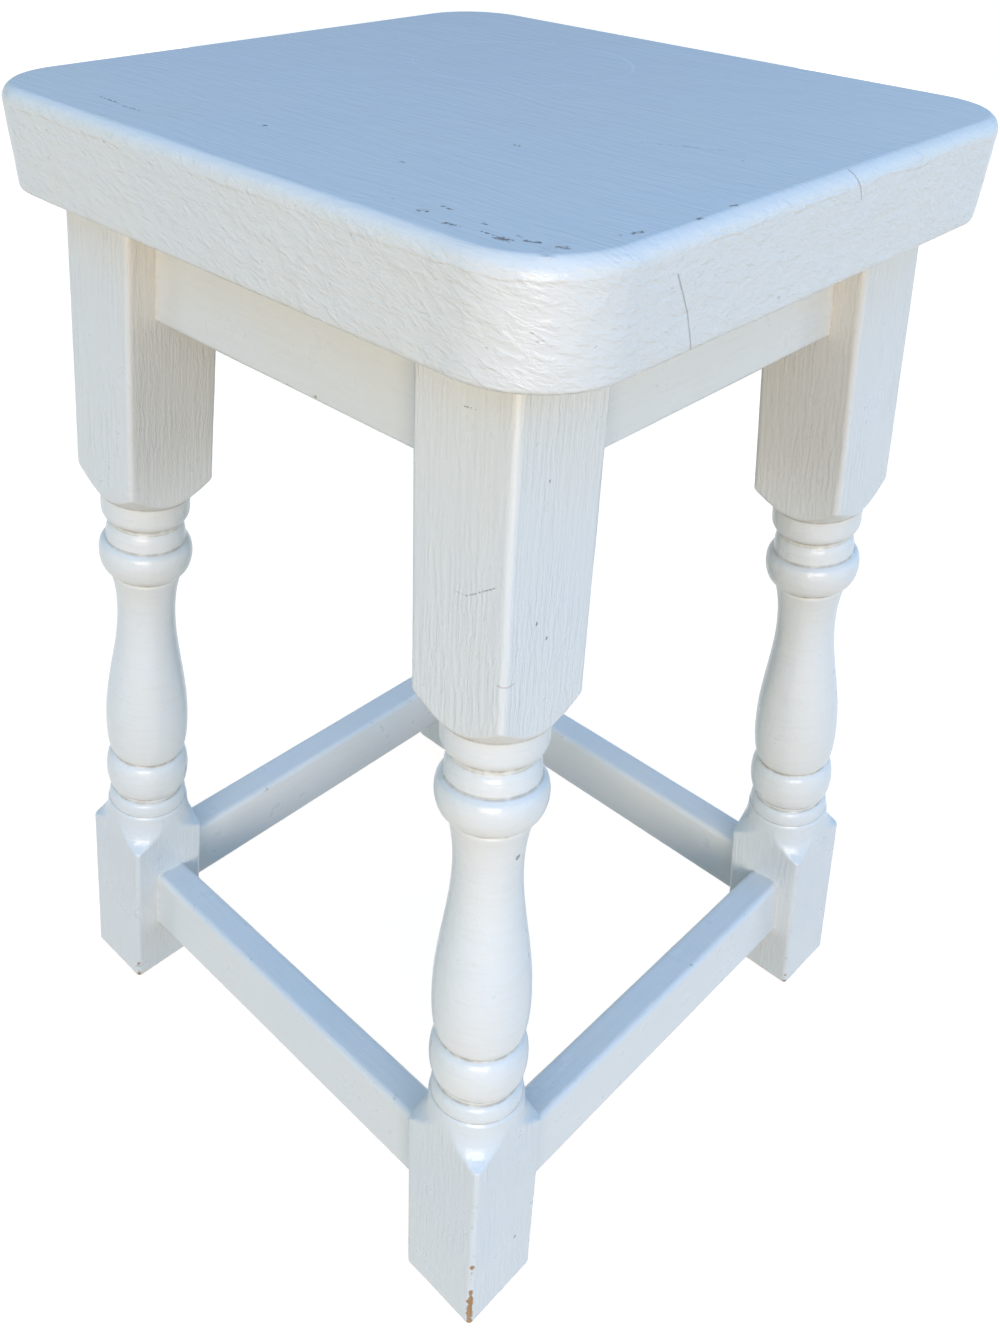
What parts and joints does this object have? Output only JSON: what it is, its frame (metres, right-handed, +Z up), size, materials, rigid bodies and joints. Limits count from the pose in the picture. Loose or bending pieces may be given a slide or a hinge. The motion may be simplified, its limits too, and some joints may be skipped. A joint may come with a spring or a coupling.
{
  "type": "joined stool",
  "caption": "Small square joined stool with a thick painted seat, splayed turned legs, aprons under the seat and low stretchers between the legs.",
  "frame": {"origin": "on the floor, under the middle of the seat", "axes": "+Z up, -Y the front, +X to the right; the seat is a little wider along X than along Y"},
  "size_m": [0.2948, 0.2948, 0.446],
  "materials": {
    "seat_paint": "thick brushed off-white gloss paint over softwood, worn at the edges",
    "frame_paint": "thick brushed off-white gloss paint over softwood, chipped at the feet",
    "bare_pine": "sawn pine, unfinished",
    "beech": "turned hardwood dowel, unfinished",
    "zinc_steel": "dull zinc plate"
  },
  "bodies": {
    "root": {"seat_board_front": "seat_paint", "seat_board_middle": "seat_paint", "seat_board_back": "seat_paint", "seat_dowels": "beech", "leg_front_right": "frame_paint", "leg_front_left": "frame_paint", "leg_back_right": "frame_paint", "leg_back_left": "frame_paint", "apron_front": "frame_paint", "apron_right": "frame_paint", "apron_back": "frame_paint", "apron_left": "frame_paint", "stretcher_front": "frame_paint", "stretcher_right": "frame_paint", "stretcher_back": "frame_paint", "stretcher_left": "frame_paint", "corner_block_front_right": "bare_pine", "corner_block_front_left": "bare_pine", "corner_block_back_right": "bare_pine", "corner_block_back_left": "bare_pine", "seat_screws": "zinc_steel"}
  },
  "joints": []
}
